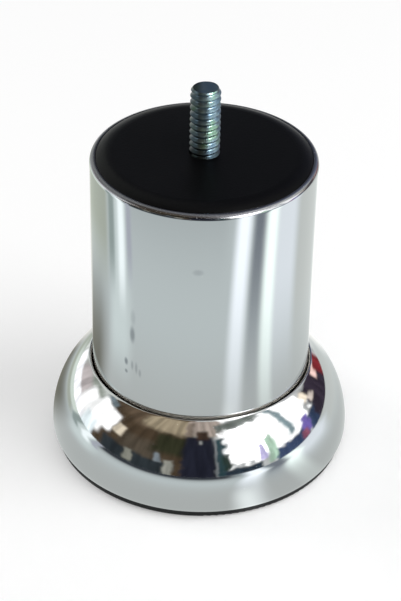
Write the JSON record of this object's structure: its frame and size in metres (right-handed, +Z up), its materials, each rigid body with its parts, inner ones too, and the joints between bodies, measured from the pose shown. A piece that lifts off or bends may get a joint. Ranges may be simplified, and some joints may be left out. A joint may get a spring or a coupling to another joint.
{
  "type": "sofa leg",
  "caption": "Round chrome-plated sofa leg on a bulged base ring, with a black plug and a threaded stud in its top and a thin black pad under its foot.",
  "frame": {"origin": "middle of the foot, on the floor", "axes": "+Z up along the tube and the stud, towards the sofa"},
  "size_m": [0.083, 0.083, 0.1086],
  "materials": {
    "chrome_plate": "polished",
    "pad_plastic": "matte",
    "plug_plastic": "satin",
    "zinc_plate": "satin"
  },
  "bodies": {
    "root": {"tube": "chrome_plate", "base_ring": "chrome_plate", "foot_pad": "pad_plastic", "top_plug": "plug_plastic", "stud_bolt": "zinc_plate"}
  },
  "joints": []
}
